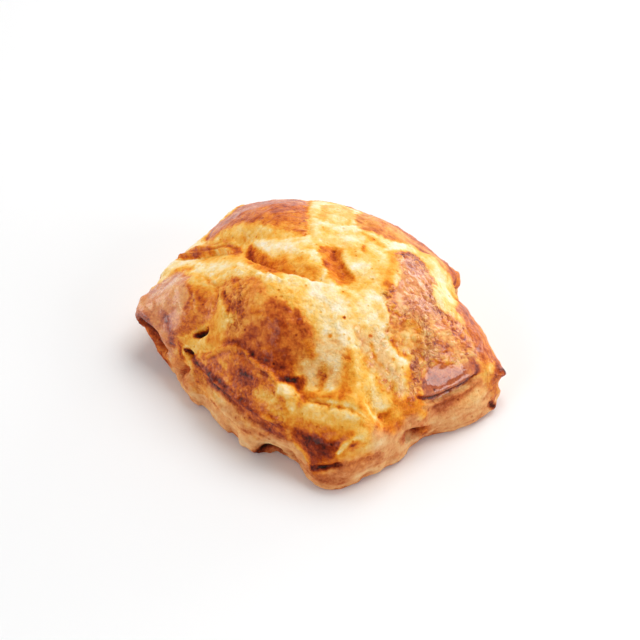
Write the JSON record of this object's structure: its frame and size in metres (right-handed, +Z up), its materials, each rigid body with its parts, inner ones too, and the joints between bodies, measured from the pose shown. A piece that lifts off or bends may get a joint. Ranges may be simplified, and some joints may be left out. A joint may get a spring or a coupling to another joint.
{
  "type": "scone",
  "caption": "Hand-shaped baked scone with uneven corners, low walls, a flat foot and a mounded, split top.",
  "frame": {"origin": "middle of the scone's outline seen from above, at the level of its flat foot", "axes": "+X towards the sharp right corner, +Y towards the broad back corner, +Z up out of the foot"},
  "size_m": [0.0958, 0.0902, 0.0359],
  "materials": {
    "baked_dough": "baked crust, cream to dark brown, glazed where it is browned"
  },
  "bodies": {
    "root": {"scone": "baked_dough"}
  },
  "joints": []
}
